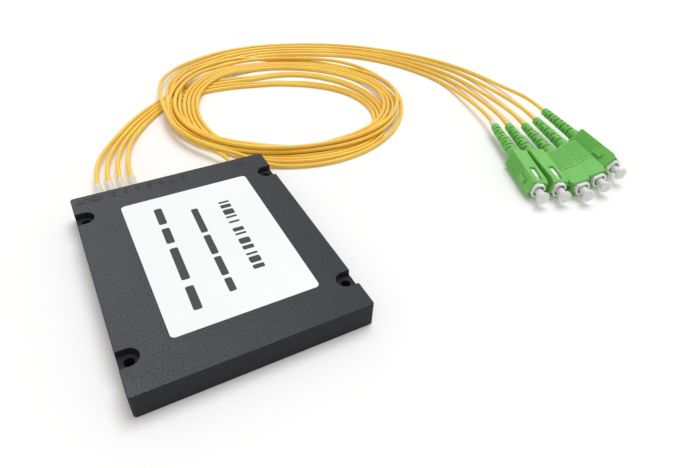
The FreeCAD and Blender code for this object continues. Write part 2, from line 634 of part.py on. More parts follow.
def makeInnerFibres():
    """Buffered fibres: one loop from the input port, four U turns to the output end of the chip."""
    level = chipMiddleHeight
    turnY = chipFrontY - size["turnReach"]
    spread = 2 * size["fibreRadius"] + size["fibreGap"]
    for number in range(1, outputCount + 1):
        x = outputPortX(number)
        end = size["chipX"] + (outputCount / 2 + 0.5 - number) * spread
        radius = (end - x) / 2
        ease = radius * math.tan(math.pi / 8)
        route = [(x, portInnerY, size["portHeight"])]
        route += [(x + aside, along, level + above) for aside, along, above in outputFall]
        route += [(x, turnY - ease, level), (x + radius - ease, turnY - radius, level),
                  (end - radius + ease, turnY - radius, level), (end, turnY - ease, level),
                  (end, chipFrontY, level)]
        makeTube("output_fibre_%d" % number, route, size["fibreRadius"])
    route = [(size["inputPortX"], portInnerY, size["portHeight"])] + inputFall
    route += [(x, y, fibreRest) for x, y in inputLoop]
    route += [(size["chipX"], inputClimbY, level), (size["chipX"], chipBackY, level)]
    makeTube("input_fibre", route, size["fibreRadius"])


# ---------------------------------------------------------------- build everything
makeTray()
makeLid()
makeLabel()
makeChip()
for number in range(1, outputCount + 1):
    makeSleeve("sleeve_%d" % number, portX(number - 1), "sleeveReach")
makeSleeve("sleeve_5", "inputPortX", "inputSleeveReach")
masters = {"coupling_shell": makeShell(), "plug_frame": makeFrame(), "ferrule": makeFerrule(),
           "dust_cap": makeCap(), "stop_body": makeStop(), "boot": makeBoot()}
for number in range(1, len(plugPlaces) + 1):
    for label, master in masters.items():
        placePlugPiece(master, "%s_%d" % (label, number), number)
makeInnerFibres()
makeLeadIns()
makeCoil()
makeLeadOuts()
doc.recompute()

# ---------------------------------------------------------------- check and export
subparts = [o for o in doc.Objects if o.Name.startswith(("Body_", "Piece_", "Tube_"))
            and not o.Label.startswith("Master_")]
for thing in doc.Objects:
    if "Invalid" in thing.State or "Error" in thing.State:
        raise RuntimeError("%s did not compute: %s" % (thing.Label, thing.State))
os.makedirs("parts", exist_ok=True)
for part in subparts:
    if part.Shape.isNull() or not part.Shape.isValid() or len(part.Shape.Solids) != 1:
        raise RuntimeError("%s is not one valid solid" % part.Label)
for part in subparts:
    part.Shape.exportStep("parts/%s.step" % part.Label)
print(len(subparts), "sub-parts written")
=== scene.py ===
import bmesh
import bpy
import math
import numpy as np
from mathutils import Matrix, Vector


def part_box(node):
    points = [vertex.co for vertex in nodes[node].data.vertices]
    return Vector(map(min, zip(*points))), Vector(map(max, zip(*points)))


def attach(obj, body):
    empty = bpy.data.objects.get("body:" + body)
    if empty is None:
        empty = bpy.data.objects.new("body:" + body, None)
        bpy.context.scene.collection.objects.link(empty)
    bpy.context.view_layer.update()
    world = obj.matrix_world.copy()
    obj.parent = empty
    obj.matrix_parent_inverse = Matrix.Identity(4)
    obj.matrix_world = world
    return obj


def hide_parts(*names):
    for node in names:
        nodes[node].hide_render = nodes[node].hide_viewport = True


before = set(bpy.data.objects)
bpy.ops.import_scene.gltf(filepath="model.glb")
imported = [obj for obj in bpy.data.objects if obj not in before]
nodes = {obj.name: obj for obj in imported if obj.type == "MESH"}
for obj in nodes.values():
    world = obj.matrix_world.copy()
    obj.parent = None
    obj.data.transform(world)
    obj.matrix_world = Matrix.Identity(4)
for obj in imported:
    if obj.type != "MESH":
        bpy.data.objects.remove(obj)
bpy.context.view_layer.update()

# A fibre splitter box with a loose coil of thin yellow cables and five green push-pull plugs.
# Everything is in metres, in the frame of the CAD model.

scene = bpy.context.scene
scene.view_settings.view_transform = "Standard"
bpy.ops.object.select_all(action="DESELECT")


# camera
cameraSetup = {
    "place": (-0.03406, -0.15244, 0.14896),
    "turn": (48.961, -2.182, -28.163),      # degrees
    "lens": 29.87,              # millimetres
    "clipStart": 0.005,
}
bpy.ops.object.camera_add(location=cameraSetup["place"],
                          rotation=[math.radians(a) for a in cameraSetup["turn"]])
camera = bpy.context.object
camera.data.lens = cameraSetup["lens"]
camera.data.clip_start = cameraSetup["clipStart"]
scene.camera = camera
print("camera set")


# shader tools
def newGroup(name, inputs, outputs):
    group = bpy.data.node_groups.new(name, "ShaderNodeTree")
    for label, kind in inputs:
        group.interface.new_socket(name=label, in_out="INPUT", socket_type=kind)
    for label, kind in outputs:
        group.interface.new_socket(name=label, in_out="OUTPUT", socket_type=kind)
    return group, group.nodes.new("NodeGroupInput"), group.nodes.new("NodeGroupOutput")


def fill(tree, made, inputs):
    for key, value in inputs.items():
        if isinstance(value, bpy.types.NodeSocket):
            tree.links.new(value, made.inputs[key])
        else:
            made.inputs[key].default_value = value
    return made


def addNode(tree, kind, inputs, **settings):
    made = tree.nodes.new("ShaderNode" + kind)
    for key, value in settings.items():
        setattr(made, key, value)
    return fill(tree, made, inputs)


def useGroup(tree, group, inputs):
    placed = tree.nodes.new("ShaderNodeGroup")
    placed.node_tree = group
    return fill(tree, placed, inputs)


def mixColours(tree, mask, first, second):
    mix = addNode(tree, "Mix", {"Factor": mask}, data_type="RGBA")
    for label, value in (("A", first), ("B", second)):
        socket = next(s for s in mix.inputs if s.name == label and s.type == "RGBA")
        if isinstance(value, bpy.types.NodeSocket):
            tree.links.new(value, socket)
        else:
            socket.default_value = (*value, 1.0)
    return next(s for s in mix.outputs if s.type == "RGBA")


def ramp(tree, value, low, high, toLow=0.0, toHigh=1.0):
    made = addNode(tree, "MapRange", {"Value": value, "From Min": low, "From Max": high,
                                      "To Min": toLow, "To Max": toHigh})
    return made.outputs["Result"]


def times(tree, first, second):
    return addNode(tree, "Math", {0: first, 1: second}, operation="MULTIPLY").outputs["Value"]


# the values of a noise texture between which a ramp runs
softSpan = (0.3, 0.7)
firmSpan = (0.35, 0.65)

# fine moulded grain: a height for Bump, and a slow drift that mottles colour and gloss
grainSetup = {"detail": 3.0, "roughness": 0.6, "mottle": (0.72, 1.0)}
grainGroup, start, end = newGroup(
    "mouldedGrain",
    [("Place", "NodeSocketVector"), ("Size", "NodeSocketFloat"), ("Drift", "NodeSocketFloat")],
    [("Height", "NodeSocketFloat"), ("Mottle", "NodeSocketFloat")])
fine = addNode(grainGroup, "TexNoise", {"Vector": start.outputs["Place"], "Scale": start.outputs["Size"],
                                        "Detail": grainSetup["detail"], "Roughness": grainSetup["roughness"]})
slow = addNode(grainGroup, "TexNoise", {"Vector": start.outputs["Place"], "Scale": start.outputs["Drift"],
                                        "Detail": 2.0})
grainHeight = ramp(grainGroup, fine.outputs["Fac"], *firmSpan)
drifting = ramp(grainGroup, slow.outputs["Fac"], *softSpan, *grainSetup["mottle"])
grainGroup.links.new(grainHeight, end.inputs["Height"])
grainGroup.links.new(times(grainGroup, grainHeight, drifting), end.inputs["Mottle"])

# sparse fine scuffs from handling
scuffSetup = {
    "turn": (0.2, 0.4, 0.7),
    "stretch": (1.0, 9.0, 3.0),
    "streaks": (0.60, 0.72),
    "patchScale": 90.0,
    "patches": (0.50, 0.62),
    "size": 420.0,
}
scuffGroup, start, end = newGroup("handlingScuffs",
                                  [("Place", "NodeSocketVector"), ("Size", "NodeSocketFloat")],
                                  [("Scuff", "NodeSocketFloat")])
stretched = addNode(scuffGroup, "Mapping", {"Vector": start.outputs["Place"], "Rotation": scuffSetup["turn"],
                                            "Scale": scuffSetup["stretch"]})
streaks = addNode(scuffGroup, "TexNoise", {"Vector": stretched.outputs["Vector"],
                                           "Scale": start.outputs["Size"], "Detail": 4.0})
patches = addNode(scuffGroup, "TexNoise", {"Vector": start.outputs["Place"],
                                           "Scale": scuffSetup["patchScale"], "Detail": 1.0})
scuffMask = times(scuffGroup, ramp(scuffGroup, streaks.outputs["Fac"], *scuffSetup["streaks"]),
                  ramp(scuffGroup, patches.outputs["Fac"], *scuffSetup["patches"]))
scuffGroup.links.new(scuffMask, end.inputs["Scuff"])


# materials
def startMaterial(name, fixed):
    material = bpy.data.materials.new(name)
    material.use_nodes = True
    tree = material.node_tree
    shader = tree.nodes["Principled BSDF"]
    for key, value in fixed.items():
        shader.inputs[key].default_value = value
    place = addNode(tree, "TexCoord", {}).outputs["Object"]
    return material, tree, shader, place


# "shadedBelow" runs up the box, with painted shade below it, and "sheenAcross" runs across it as a painted
# sheen, in metres; the last two of "sheenAcross" are how much sheen is left
finishes = {
    "box": {"dark": (0.038, 0.0395, 0.044), "light": (0.112, 0.115, 0.125), "scuffed": (0.115, 0.118, 0.126),
            "side": (0.0115, 0.0122, 0.0150), "facingUp": (0.70, 0.96), "shadedBelow": (0.0088, 0.0096),
            "sheenAcross": (-0.036, 0.036, 1.0, 0.40), "gloss": (0.56, 0.70), "grain": 1700.0, "drift": 60.0,
            "bump": 0.00010, "fixed": {"Specular IOR Level": 0.26}},
    "shell": {"dark": (0.150, 0.50, 0.080), "light": (0.200, 0.60, 0.115), "scuffed": (0.26, 0.64, 0.18),
              "gloss": (0.32, 0.44), "grain": 3200.0, "drift": 160.0, "bump": 0.000012,
              "fixed": {"Specular IOR Level": 0.38, "Subsurface Weight": 0.25, "Subsurface Scale": 0.0007,
                        "Subsurface Radius": (0.5, 1.0, 0.4)}},
    "boot": {"dark": (0.122, 0.45, 0.058), "light": (0.165, 0.55, 0.085), "scuffed": (0.21, 0.58, 0.15),
             "gloss": (0.42, 0.56), "grain": 2800.0, "drift": 180.0, "bump": 0.00002, "fixed": {}},
    "frame": {"dark": (0.84, 0.85, 0.83), "light": (0.91, 0.92, 0.90), "scuffed": (0.76, 0.77, 0.74),
              "gloss": (0.28, 0.40), "grain": 2600.0, "drift": 150.0, "bump": 0.00001,
              "fixed": {"Subsurface Weight": 0.20, "Subsurface Scale": 0.001,
                        "Subsurface Radius": (1.0, 1.0, 0.9)}},
    "mark": {"dark": (0.010, 0.010, 0.011), "light": (0.022, 0.022, 0.024), "scuffed": (0.05, 0.05, 0.052),
             "gloss": (0.30, 0.42), "grain": 2600.0, "drift": 90.0, "bump": 0.00001, "fixed": {}},
}


def addBump(tree, shader, height, distance):
    bump = addNode(tree, "Bump", {"Height": height, "Distance": distance, "Strength": 1.0})
    tree.links.new(bump.outputs["Normal"], shader.inputs["Normal"])


def plasticFinish(name, look):
    material, tree, shader, place = startMaterial(name, look["fixed"])
    grain = useGroup(tree, grainGroup, {"Place": place, "Size": look["grain"], "Drift": look["drift"]})
    scuffs = useGroup(tree, scuffGroup, {"Place": place, "Size": scuffSetup["size"]}).outputs["Scuff"]
    body = mixColours(tree, grain.outputs["Mottle"], look["dark"], look["light"])
    body = mixColours(tree, scuffs, body, look["scuffed"])
    if "side" in look:      # painted shade: only the top shows the pale grain; the sides and the screw pockets take a dark colour
        normal = tree.nodes["Texture Coordinate"].outputs["Normal"]
        facing = addNode(tree, "SeparateXYZ", {"Vector": normal}).outputs["Z"]
        along = addNode(tree, "SeparateXYZ", {"Vector": place}).outputs
        unshadedTop = times(tree, ramp(tree, facing, *look["facingUp"]), ramp(tree, along["Z"], *look["shadedBelow"]))
        unshadedTop = times(tree, unshadedTop, ramp(tree, along["X"], *look["sheenAcross"]))      # painted sheen: the top grows darker to the right
        body = mixColours(tree, unshadedTop, look["side"], body)
    tree.links.new(body, shader.inputs["Base Color"])
    tree.links.new(ramp(tree, grain.outputs["Mottle"], 0.0, 1.0, *look["gloss"]), shader.inputs["Roughness"])
    addBump(tree, shader, grain.outputs["Height"], look["bump"])
    return material


cableLook = {
    "dark": (0.945, 0.565, 0.052), "light": (0.985, 0.66, 0.080), "shade": {"Scale": 45.0, "Detail": 2.0},
    "dusty": (0.985, 0.80, 0.32), "dust": 0.5, "speckScale": 700.0, "specks": (0.10, 0.04),
    "grain": {"Scale": 900.0, "Detail": 3.0}, "gloss": (0.26, 0.38), "bump": 0.000012,
    "fixed": {"Subsurface Weight": 0.25, "Subsurface Scale": 0.0012, "Subsurface Radius": (1.0, 0.55, 0.12)},
}


def cableFinish():
    look = cableLook
    material, tree, shader, place = startMaterial("cableJacket", look["fixed"])
    broad = addNode(tree, "TexNoise", {"Vector": place, **look["shade"]})
    fine = addNode(tree, "TexNoise", {"Vector": place, **look["grain"]})
    speck = addNode(tree, "TexVoronoi", {"Vector": place, "Scale": look["speckScale"]})
    body = mixColours(tree, ramp(tree, broad.outputs["Fac"], *firmSpan), look["dark"], look["light"])
    dust = times(tree, ramp(tree, speck.outputs["Distance"], *look["specks"]), look["dust"])
    tree.links.new(mixColours(tree, dust, body, look["dusty"]), shader.inputs["Base Color"])
    tree.links.new(ramp(tree, fine.outputs["Fac"], *softSpan, *look["gloss"]), shader.inputs["Roughness"])
    addBump(tree, shader, fine.outputs["Fac"], look["bump"])
    return material


clearLooks = {
    "cap": {"thin": (0.93, 0.92, 0.89), "thick": (0.86, 0.86, 0.83), "gloss": (0.22, 0.34),
            "fixed": {"Transmission Weight": 0.18, "IOR": 1.48, "Subsurface Weight": 0.45,
                      "Subsurface Scale": 0.0025, "Subsurface Radius": (1.0, 0.98, 0.92)}},
    "sleeve": {"thin": (0.97, 0.97, 0.96), "thick": (0.91, 0.92, 0.91), "gloss": (0.14, 0.26),
               "fixed": {"Alpha": 0.55, "Coat Weight": 0.3}},
    "fibre": {"thin": (0.84, 0.86, 0.85), "thick": (0.76, 0.78, 0.77), "gloss": (0.25, 0.35), "fixed": {}},
}
clouding = {"scale": 420.0, "detail": 3.0, "bump": 0.00001}


def clearFinish(name, look):
    material, tree, shader, place = startMaterial(name, look["fixed"])
    cloud = addNode(tree, "TexNoise", {"Vector": place, "Scale": clouding["scale"],
                                       "Detail": clouding["detail"]})
    haze = ramp(tree, cloud.outputs["Fac"], *firmSpan)
    tree.links.new(mixColours(tree, haze, look["thin"], look["thick"]), shader.inputs["Base Color"])
    tree.links.new(ramp(tree, haze, 0.0, 1.0, *look["gloss"]), shader.inputs["Roughness"])
    addBump(tree, shader, cloud.outputs["Fac"], clouding["bump"])
    return material


labelLook = {
    "dark": (0.90, 0.905, 0.905), "light": (0.96, 0.965, 0.965), "gloss": (0.34, 0.48),
    "paper": {"Scale": 1500.0, "Detail": 4.0, "Roughness": 0.7}, "drift": {"Scale": 30.0, "Detail": 2.0},
    "patchy": (0.5, 1.0), "ripple": 0.000006,
    "fixed": {"Coat Weight": 0.15, "Coat Roughness": 0.25},
}


def labelFinish():
    look = labelLook
    material, tree, shader, place = startMaterial("labelFilm", look["fixed"])
    paper = addNode(tree, "TexNoise", {"Vector": place, **look["paper"]})
    slow = addNode(tree, "TexNoise", {"Vector": place, **look["drift"]})
    tone = times(tree, ramp(tree, paper.outputs["Fac"], *softSpan),
                 ramp(tree, slow.outputs["Fac"], *softSpan, *look["patchy"]))
    tree.links.new(mixColours(tree, tone, look["dark"], look["light"]), shader.inputs["Base Color"])
    tree.links.new(ramp(tree, slow.outputs["Fac"], *softSpan, *look["gloss"]), shader.inputs["Roughness"])
    addBump(tree, shader, paper.outputs["Fac"], look["ripple"])
    return material


inkLook = {"dark": (0.012, 0.012, 0.013), "light": (0.045, 0.045, 0.047), "gloss": (0.40, 0.60),
           "dots": 3500.0, "span": (0.35, 0.7)}


def inkFinish():
    look = inkLook
    material, tree, shader, place = startMaterial("printInk", {})
    dots = addNode(tree, "TexNoise", {"Vector": place, "Scale": look["dots"], "Detail": 2.0}).outputs["Fac"]
    tree.links.new(mixColours(tree, ramp(tree, dots, *look["span"]), look["dark"], look["light"]),
                   shader.inputs["Base Color"])
    tree.links.new(ramp(tree, dots, *softSpan, *look["gloss"]), shader.inputs["Roughness"])
    return material


metalLooks = {
    "chipSteel": {"tint": (0.62, 0.62, 0.64), "gloss": (0.25, 0.42), "marks": 1800.0, "grooves": 0.85},
    "platedMetal": {"tint": (0.72, 0.70, 0.66), "gloss": (0.15, 0.28), "marks": 1800.0, "grooves": 0.85},
}


def metalFinish(name):
    look = metalLooks[name]
    material, tree, shader, place = startMaterial(name, {"Metallic": 1.0})
    marks = addNode(tree, "TexNoise", {"Vector": place, "Scale": look["marks"], "Detail": 3.0})
    turned = marks.outputs["Fac"]
    grooves = [look["grooves"] * c for c in look["tint"]]
    tree.links.new(mixColours(tree, turned, grooves, look["tint"]), shader.inputs["Base Color"])
    tree.links.new(ramp(tree, turned, *softSpan, *look["gloss"]), shader.inputs["Roughness"])
    return material


ceramicLook = {"dark": (0.82, 0.81, 0.77), "light": (0.90, 0.89, 0.86), "gloss": (0.12, 0.22), "grain": 800.0,
               "fixed": {"Coat Weight": 0.3, "Coat Roughness": 0.1}}


def ceramicFinish():
    look = ceramicLook
    material, tree, shader, place = startMaterial("ferruleCeramic", look["fixed"])
    body = addNode(tree, "TexNoise", {"Vector": place, "Scale": look["grain"], "Detail": 2.0}).outputs["Fac"]
    tree.links.new(mixColours(tree, body, look["dark"], look["light"]), shader.inputs["Base Color"])
    tree.links.new(ramp(tree, body, *softSpan, *look["gloss"]), shader.inputs["Roughness"])
    return material


boxPlastic = plasticFinish("boxPlastic", finishes["box"])
shellPlastic = plasticFinish("shellPlastic", finishes["shell"])
bootRubber = plasticFinish("bootRubber", finishes["boot"])
framePlastic = plasticFinish("framePlastic", finishes["frame"])
markPlastic = plasticFinish("markPlastic", finishes["mark"])
cableJacket = cableFinish()
capPlastic = clearFinish("capPlastic", clearLooks["cap"])
sleevePlastic = clearFinish("sleevePlastic", clearLooks["sleeve"])
labelFilm = labelFinish()
printInk = inkFinish()
chipSteel = metalFinish("chipSteel")
platedMetal = metalFinish("platedMetal")
ferruleCeramic = ceramicFinish()
fibreCoating = clearFinish("fibreCoating", clearLooks["fibre"])

nodeFinishes = {
    "base_tray": boxPlastic, "lid": boxPlastic, "label": labelFilm, "splitter_chip": chipSteel,
    "input_fibre": fibreCoating, "output_fibre": fibreCoating, "sleeve": sleevePlastic,
    "lead_in": cableJacket, "lead_out": cableJacket, "cable_coil": cableJacket,
    "coupling_shell": shellPlastic, "plug_frame": framePlastic, "ferrule": ferruleCeramic,
    "dust_cap": capPlastic, "stop_body": platedMetal, "boot": bootRubber,
}


def kindOf(name):       # the node's name without its number
    return name.rstrip("0123456789").rstrip("_")


for name, obj in nodes.items():
    obj.data.materials.clear()
    obj.data.materials.append(nodeFinishes[kindOf(name)])
print("materials made for", len(nodes), "CAD pieces")

# where each cable's plug lies: shell front rim, heading from -Y towards -X in degrees
plugPlaces = [(0.1717, -0.0261, 0.005037, 12.3), (0.16015, -0.0274, 0.0049, 14.9),
              (0.1501, -0.0236, 0.004805, 17.2), (0.1407, -0.0204, 0.005074, 20.0),
              (0.1846, -0.0224, 0.005798, 9.0)]
plugReach = {"bootEnd": 0.0532, "bend": 0.0692, "inside": 0.0295}


def plugPoint(number, behind):
    x, y, z, heading = plugPlaces[number - 1]
    angle = math.radians(heading)
    return (x + behind * math.sin(angle), y + behind * math.cos(angle), z)


# Copies of the CAD pieces whose edges show, with faces merged and edges slightly rounded, take their places.
# "beyond" is how far from the plug's axis the rounding starts, so that the cap's bore stays as it is.
edgeLooks = {
    "lid": {"width": 0.00040, "slot": "box_plastic"},
    "base_tray": {"width": 0.00015, "slot": "box_plastic"},
    "coupling_shell": {"width": 0.00022, "slot": "green_shell", "body": "shell_%d"},
    "plug_frame": {"width": 0.00012, "slot": "white_frame"},
    "boot": {"width": 0.00010, "slot": "boot_rubber"},
    "dust_cap": {"width": 0.00035, "slot": "cap_plastic", "body": "cap_%d", "beyond": 0.00145},
    "sleeve": {"width": 0.00008, "slot": "clear_sleeve"},
}
# "flat", "sharp" and "smooth" are angles in degrees
edgeSetup = {"merge": 0.000002, "segments": 2, "flat": 0.5, "sharp": 40, "smooth": 38}


def markSharpEdges(piece, number, beyond):      # bevel weight on sharp edges past that distance
    rim = Vector(plugPoint(number, 0))
    along = (Vector(plugPoint(number, 0.01)) - rim).normalized()
    form = bmesh.new()
    form.from_mesh(piece.data)
    weight = form.edges.layers.float.new("bevel_weight_edge")
    sharp = math.radians(edgeSetup["sharp"])
    for edge in form.edges:
        away = (edge.verts[0].co + edge.verts[1].co) / 2 - rim
        away -= along * away.dot(along)
        if edge.is_manifold and edge.calc_face_angle() > sharp and away.length > beyond:
            edge[weight] = 1.0
    form.to_mesh(piece.data)
    form.free()


def softenEdges(name, look):
    number = name.rsplit("_", 1)[-1]
    piece = bpy.data.objects.new("rounded_" + name, nodes[name].data.copy())
    scene.collection.objects.link(piece)
    bpy.ops.object.select_all(action="DESELECT")
    piece.select_set(True)
    bpy.context.view_layer.objects.active = piece
    bpy.ops.object.mode_set(mode="EDIT")
    bpy.ops.mesh.select_all(action="SELECT")
    bpy.ops.mesh.remove_doubles(threshold=edgeSetup["merge"])
    bpy.ops.mesh.dissolve_limited(angle_limit=math.radians(edgeSetup["flat"]))
    bpy.ops.object.mode_set(mode="OBJECT")
    if "beyond" in look:
        markSharpEdges(piece, int(number), look["beyond"])
    rounding = piece.modifiers.new("rounding", "BEVEL")
    rounding.width = look["width"]
    rounding.segments = edgeSetup["segments"]
    rounding.limit_method = "WEIGHT" if "beyond" in look else "ANGLE"
    rounding.angle_limit = math.radians(edgeSetup["sharp"])
    bpy.ops.object.modifier_apply(modifier=rounding.name)
    bpy.ops.object.shade_smooth_by_angle(angle=math.radians(edgeSetup["smooth"]))
    weighted = piece.modifiers.new("weighted", "WEIGHTED_NORMAL")
    weighted.keep_sharp = True
    bpy.ops.object.modifier_apply(modifier=weighted.name)
    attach(piece, look["body"] % int(number) if "body" in look else "splitter")
    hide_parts(name)


for name in sorted(nodes):
    if kindOf(name) in edgeLooks:
        softenEdges(name, edgeLooks[kindOf(name)])
print("edges softened")


# a clear crimp tube shows where cable 4 enters its boot
crimpSetup = {
    "number": 4,
    "begin": 0.0526,            # behind the shell's front rim
    "length": 0.0052,
    "radius": 0.00150,
    "flare": 0.00175,           # radius at the boot
    "wall": 0.0003,
    "sides": 32,
    "rings": 4,
    "smooth": 40,               # degrees
}


def makeCrimpTube():
    setup = crimpSetup
    number, length = setup["number"], setup["length"]
    start = Vector(plugPoint(number, setup["begin"]))
    along = (Vector(plugPoint(number, setup["begin"] + length)) - start).normalized()
    heading = math.radians(plugPlaces[number - 1][3])
    bpy.ops.object.select_all(action="DESELECT")
    bpy.ops.mesh.primitive_cylinder_add(
        vertices=setup["sides"], radius=setup["radius"], depth=length, end_fill_type="NOTHING",
        location=plugPoint(number, setup["begin"] + length / 2), rotation=(math.radians(-90), 0, -heading))
    tube = bpy.context.object
    tube.name = "crimp_tube_4"
    bpy.ops.object.transform_apply(location=True, rotation=True, scale=True)
    bpy.ops.object.mode_set(mode="EDIT")
    bpy.ops.mesh.select_all(action="SELECT")
    bpy.ops.mesh.subdivide(number_cuts=setup["rings"])
    bpy.ops.object.mode_set(mode="OBJECT")
    for corner in tube.data.vertices:       # the tube widens a little towards the boot
        reach = (corner.co - start).dot(along)
        axis = start + along * reach
        share = 1 - reach / length
        corner.co = axis + (corner.co - axis) * (1 + share ** 3 * (setup["flare"] / setup["radius"] - 1))
    wall = tube.modifiers.new("wall", "SOLIDIFY")
    wall.thickness = setup["wall"]
    wall.offset = -1
    bpy.ops.object.modifier_apply(modifier=wall.name)
    bpy.ops.object.shade_smooth_by_angle(angle=math.radians(setup["smooth"]))
    tube.data.materials.append(sleevePlastic)
    return tube


crimpTube = makeCrimpTube()
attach(crimpTube, "splitter")
print("crimp tube made")


# cables
cableSetup = {
    "radius": 0.001,
    "floorHeight": 0.001,
    "turns": 2,
    "stepsPerTurn": 24,
    "radiiPerTurn": 12,
    "nextStrand": 0.0022,       # from one strand of a pair to the next
    "restGap": 0.00203,         # centre to centre where one strand lies on another
    "ownSteps": 4,              # control points along its own way that a strand isn't laid on
    "outputsFrom": 90,          # degrees round from +X where the cables join the coil
    "inputFrom": 210,
}
coilMiddle = (0.072, 0.098)
outputs = (1, 2, 3, 4)
inputCable = 5

# The outputs run round the coil's middle as two pairs. Each value is the distance out to a pair's first
# strand, every 30 degrees clockwise from 90 degrees, for nearly two turns.
pairTurns = {
    "inner": [0.0296, 0.0282, 0.0318, 0.0405, 0.0485, 0.0505, 0.0460, 0.0443, 0.0440, 0.0432, 0.0460, 0.0492,
              0.0500, 0.0495, 0.0528, 0.0560, 0.0540, 0.0475, 0.0405, 0.0396, 0.0440, 0.0510, 0.0550],
    "outer": [0.0380, 0.0405, 0.0435, 0.0480, 0.0530, 0.0550, 0.0506, 0.0487, 0.0484, 0.0476, 0.0504, 0.0540,
              0.0546, 0.0540, 0.0578, 0.0608, 0.0588, 0.0522, 0.0449, 0.0440, 0.0484, 0.0554, 0.0594],
}
# the input lies outermost, from where it meets the coil 210 degrees round from +X
inputTurns = [0.0575, 0.0582, 0.0602, 0.0624, 0.0612, 0.0600, 0.0625, 0.0650, 0.0604, 0.0525, 0.0460, 0.0455,
              0.0490, 0.0535, 0.0572, 0.0588, 0.0582, 0.0590, 0.0652, 0.0680, 0.0634, 0.0592, 0.0565, 0.0548,
              0.0560, 0.0595]

# routes outside the coil, as the CAD tubes run
outputRouteFirst = [(-0.0285, 0.0468, 0.005), (-0.0285, 0.0650, 0.005), (-0.0255, 0.0815, 0.0040),
                    (-0.0160, 0.0990, 0.0022), (0.001, 0.1216, 0.001), (0.0254, 0.1394, 0.001),
                    (0.0430, 0.1425, 0.001), (0.0580, 0.1415, 0.001)]
outputRouteLast = [(-0.01455, 0.0468, 0.005), (-0.01455, 0.0650, 0.005), (-0.0125, 0.0810, 0.0040),
                   (-0.0065, 0.0988, 0.0022), (0.0076, 0.117, 0.001), (0.0194, 0.1266, 0.001),
                   (0.0380, 0.1330, 0.001), (0.0560, 0.1318, 0.001)]
inputRoute = [(0.028, 0.0468, 0.005), (0.028, 0.0575, 0.005), (0.0252, 0.0685, 0.0040)]
plugRoutes = [
    [(0.0230, 0.1450, 0.001), (0.035, 0.1608, 0.001), (0.053, 0.171, 0.001), (0.073, 0.176, 0.001),
     (0.095, 0.1738, 0.001), (0.117, 0.1664, 0.001), (0.138, 0.1556, 0.001), (0.157, 0.1405, 0.001),
     (0.173, 0.122, 0.001), (0.1845, 0.102, 0.001), (0.1895, 0.081, 0.001)],
    [(0.0255, 0.1445, 0.001), (0.037, 0.1580, 0.001), (0.051, 0.1660, 0.001), (0.070, 0.1722, 0.001),
     (0.092, 0.1706, 0.001), (0.113, 0.1636, 0.001), (0.134, 0.1532, 0.001), (0.153, 0.138, 0.001),
     (0.1685, 0.1185, 0.001), (0.1785, 0.099, 0.001), (0.1825, 0.080, 0.001)],
    [(0.0280, 0.1432, 0.001), (0.040, 0.1552, 0.001), (0.058, 0.1640, 0.001), (0.080, 0.1686, 0.001),
     (0.101, 0.1643, 0.001), (0.123, 0.1558, 0.001), (0.1435, 0.1435, 0.001), (0.160, 0.125, 0.001),
     (0.1705, 0.105, 0.001), (0.1765, 0.0845, 0.001)],
    [(0.0305, 0.1418, 0.001), (0.043, 0.1528, 0.001), (0.060, 0.1604, 0.001), (0.080, 0.1648, 0.001),
     (0.100, 0.1605, 0.001), (0.121, 0.152, 0.001), (0.140, 0.1405, 0.001), (0.1555, 0.123, 0.001),
     (0.1655, 0.1035, 0.001), (0.1705, 0.0845, 0.001)],
    [(0.0140, 0.117, 0.0034), (0.017, 0.139, 0.0036), (0.0275, 0.1595, 0.0012), (0.045, 0.1736, 0.001),
     (0.068, 0.1798, 0.001), (0.092, 0.178, 0.001), (0.115, 0.171, 0.001), (0.136, 0.161, 0.001),
     (0.155, 0.1475, 0.001), (0.1715, 0.131, 0.001), (0.1855, 0.112, 0.001), (0.1945, 0.091, 0.001),
     (0.1975, 0.0700, 0.0016)],
]


def between(values, at):      # eased value between listed ones, with no corners
    first = math.floor(at)
    share = at - first
    a, b, c, d = [values[max(0, min(len(values) - 1, k))] for k in range(first - 1, first + 3)]
    return b + 0.5 * share * (c - a + share * (2 * a - 5 * b + 4 * c - d + share * (3 * (b - c) + d - a)))


def turnPoint(degrees, radius):
    angle = math.radians(degrees)
    return (coilMiddle[0] + radius * math.cos(angle), coilMiddle[1] + radius * math.sin(angle),
            cableSetup["floorHeight"])


def coilTurns(radii, fromDegrees):      # two control points for each listed radius
    each = cableSetup["stepsPerTurn"] // cableSetup["radiiPerTurn"]
    step = 360 / cableSetup["stepsPerTurn"]
    count = each * (len(radii) - 1) + 1
    return [turnPoint(fromDegrees - step * i, between(radii, i / each)) for i in range(count)]


def plugEnd(number):
    return [plugPoint(number, plugReach["bend"]), plugPoint(number, plugReach["bootEnd"]),
            plugPoint(number, plugReach["inside"])]


def outputPath(number):      # the way in, the turns, and the way out to the plug
    share = (number - 1) / (len(outputs) - 1)
    leadIn = [tuple(a + share * (b - a) for a, b in zip(first, last))
              for first, last in zip(outputRouteFirst, outputRouteLast)]
    radii = pairTurns["inner" if number > 2 else "outer"]
    beside = cableSetup["nextStrand"] if number in (1, 3) else 0.0
    turns = coilTurns([radius + beside for radius in radii], cableSetup["outputsFrom"])
    return leadIn, turns, plugRoutes[number - 1] + plugEnd(number)


# points on the spline that the control points first to last shape, each with its control point's index
def splineSamples(path, first, last, count=10):
    found = []
    for i in range(max(1, first), min(len(path) - 1, last)):
        before = path[0] if i == 1 else (path[i - 1] + path[i]) / 2
        after = path[-1] if i == len(path) - 2 else (path[i] + path[i + 1]) / 2
        for t in np.linspace(0, 1, count, endpoint=False):
            found.append((i, *((1 - t) ** 2 * before + 2 * t * (1 - t) * path[i] + t ** 2 * after)))
    return np.array(found)


laid = []


